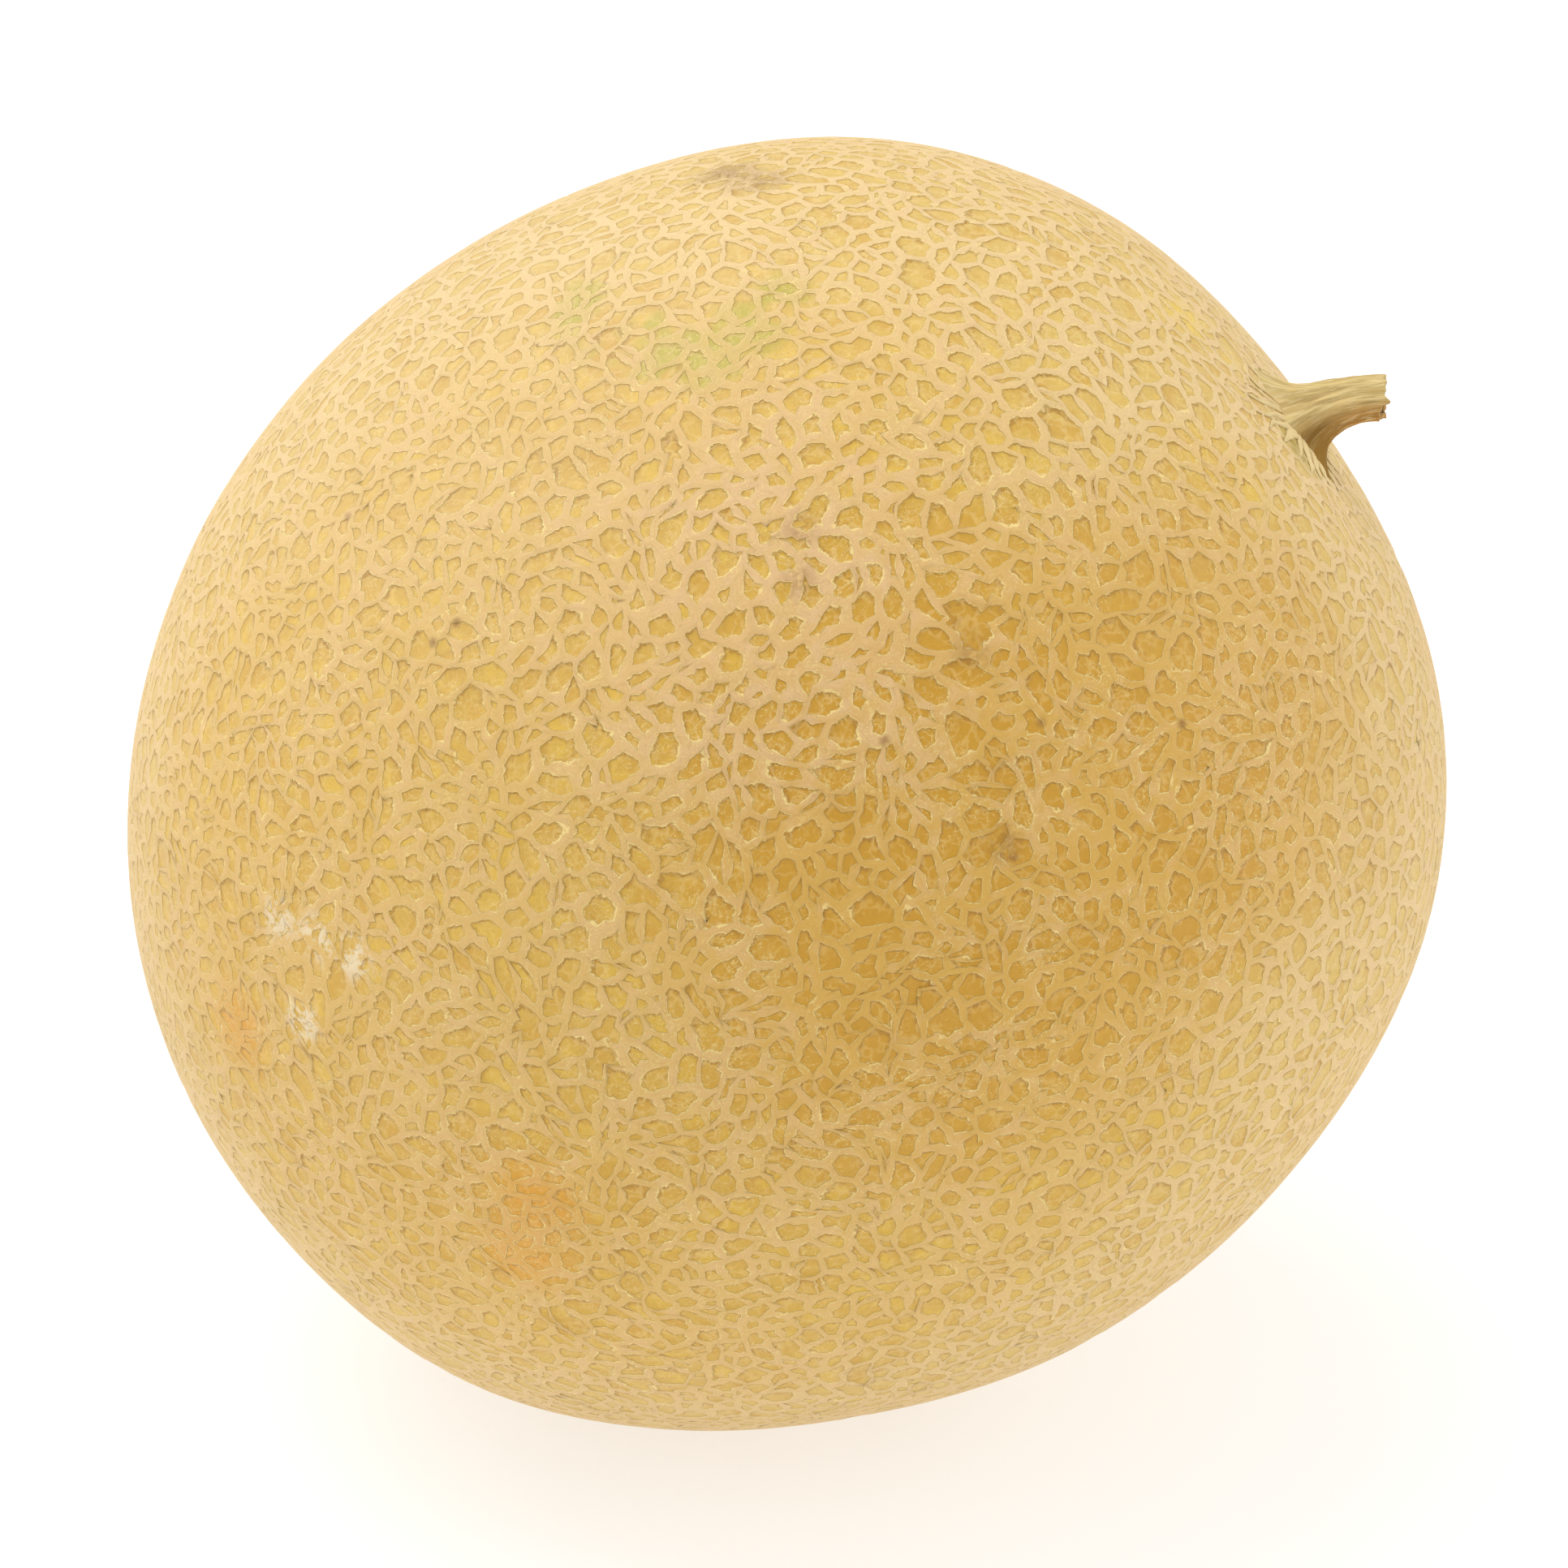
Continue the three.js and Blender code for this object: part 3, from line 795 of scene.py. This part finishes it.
def add_camera():
    """Sees the fruit as the photograph does."""
    right, up, towards = view_axes()
    camera = bpy.data.cameras.new("camera")
    camera.lens = CAMERA_LENS
    camera.sensor_width = SENSOR
    camera.clip_start = 0.01
    camera.clip_end = 50
    aim = (
        fruit_centre()
        + right * (PHOTO_SIDE / 2 - PHOTO_CENTRE_X) * PHOTO_PIXEL
        + up * (PHOTO_CENTRE_Y - PHOTO_SIDE / 2) * PHOTO_PIXEL
    )
    holder = bpy.data.objects.new("camera", camera)
    holder.location = aim + towards * camera_distance()
    holder.rotation_euler = towards.to_track_quat("Z", "Y").to_euler()
    bpy.context.scene.collection.objects.link(holder)
    bpy.context.scene.camera = holder


def add_area_light(name, direction, size, power):
    """A square soft light that looks at the fruit from a direction."""
    lamp = bpy.data.lights.new(name, "AREA")
    lamp.size = size
    lamp.energy = power
    holder = bpy.data.objects.new(name, lamp)
    towards = Vector(direction).normalized()
    holder.location = fruit_centre() + towards * LIGHT_DISTANCE
    holder.rotation_euler = towards.to_track_quat("Z", "Y").to_euler()
    bpy.context.scene.collection.objects.link(holder)


def add_floor():
    """A plain pale floor."""
    mesh = bmesh.new()
    bmesh.ops.create_grid(mesh, x_segments=1, y_segments=1, size=4.0)
    made = bpy.data.meshes.new("floor")
    mesh.to_mesh(made)
    mesh.free()
    floor = bpy.data.objects.new("floor", made)
    bpy.context.scene.collection.objects.link(floor)
    shader = Shader("pale_floor")
    shader.set(base_color=FLOOR_COLOUR, roughness=0.9, emission_color=(1.0, 1.0, 1.0),
               emission_strength=FLOOR_GLOW)
    made.materials.append(shader.material)


def add_world():
    """A bright, even, white room."""
    world = bpy.data.worlds.new("white_room")
    world.use_nodes = True
    world.node_tree.nodes["Background"].inputs["Color"].default_value = (1, 1, 1, 1)
    world.node_tree.nodes["Background"].inputs["Strength"].default_value = ROOM_STRENGTH
    bpy.context.scene.world = world


class MELON_OT_rind(bpy.types.Operator):
    """Add the fruit with its netted rind"""

    bl_idname = "melon.rind"
    bl_label = "Netted Rind"

    def execute(self, context):
        material = rind_material(context.scene.melon_colours)
        show(rind_mesh(context.scene.melon_net), "netted_rind", "melon", material)
        return {"FINISHED"}


class MELON_OT_stem(bpy.types.Operator):
    """Add the dried stem with its cut end, its toes and its strands"""

    bl_idname = "melon.stem"
    bl_label = "Dried Stem"

    def execute(self, context):
        show(stem_mesh(context.scene.melon_stem), "dried_stem", "stem",
             stem_material(context.scene.melon_stem_colours))
        return {"FINISHED"}


class MELON_OT_stage(bpy.types.Operator):
    """Add the camera, the soft light and the pale floor"""

    bl_idname = "melon.stage"
    bl_label = "Stage"

    def execute(self, context):
        context.scene.view_settings.view_transform = "Standard"
        add_camera()
        add_floor()
        add_world()
        for name, (direction, size, power) in LIGHTS.items():
            add_area_light(name, direction, size, power)
        return {"FINISHED"}


class MELON_PT_panel(bpy.types.Panel):
    """Lists the pieces of the melon"""

    bl_label = "Cantaloupe Melon"
    bl_idname = "MELON_PT_panel"
    bl_space_type = "VIEW_3D"
    bl_region_type = "UI"
    bl_category = "Melon"

    def draw(self, context):
        for operator in OPERATORS:
            self.layout.operator(operator.bl_idname)


OPERATORS = (MELON_OT_stage, MELON_OT_rind, MELON_OT_stem)
GROUPS = {"melon_fruit": FruitShape, "melon_net": NetShape, "melon_colours": RindColours,
          "melon_stem": StemShape, "melon_stem_colours": StemColours}
CLASSES = (*GROUPS.values(), *OPERATORS, MELON_PT_panel)


def register():
    for entry in CLASSES:
        bpy.utils.register_class(entry)
    for name, group in GROUPS.items():
        setattr(bpy.types.Scene, name, PointerProperty(type=group))


def unregister():
    for name in GROUPS:
        delattr(bpy.types.Scene, name)
    for entry in reversed(CLASSES):
        bpy.utils.unregister_class(entry)


def main():
    """Builds the stage and the pieces."""
    register()
    bpy.ops.melon.stage()
    bpy.ops.melon.rind()
    bpy.ops.melon.stem()


if __name__ == "__main__":
    main()
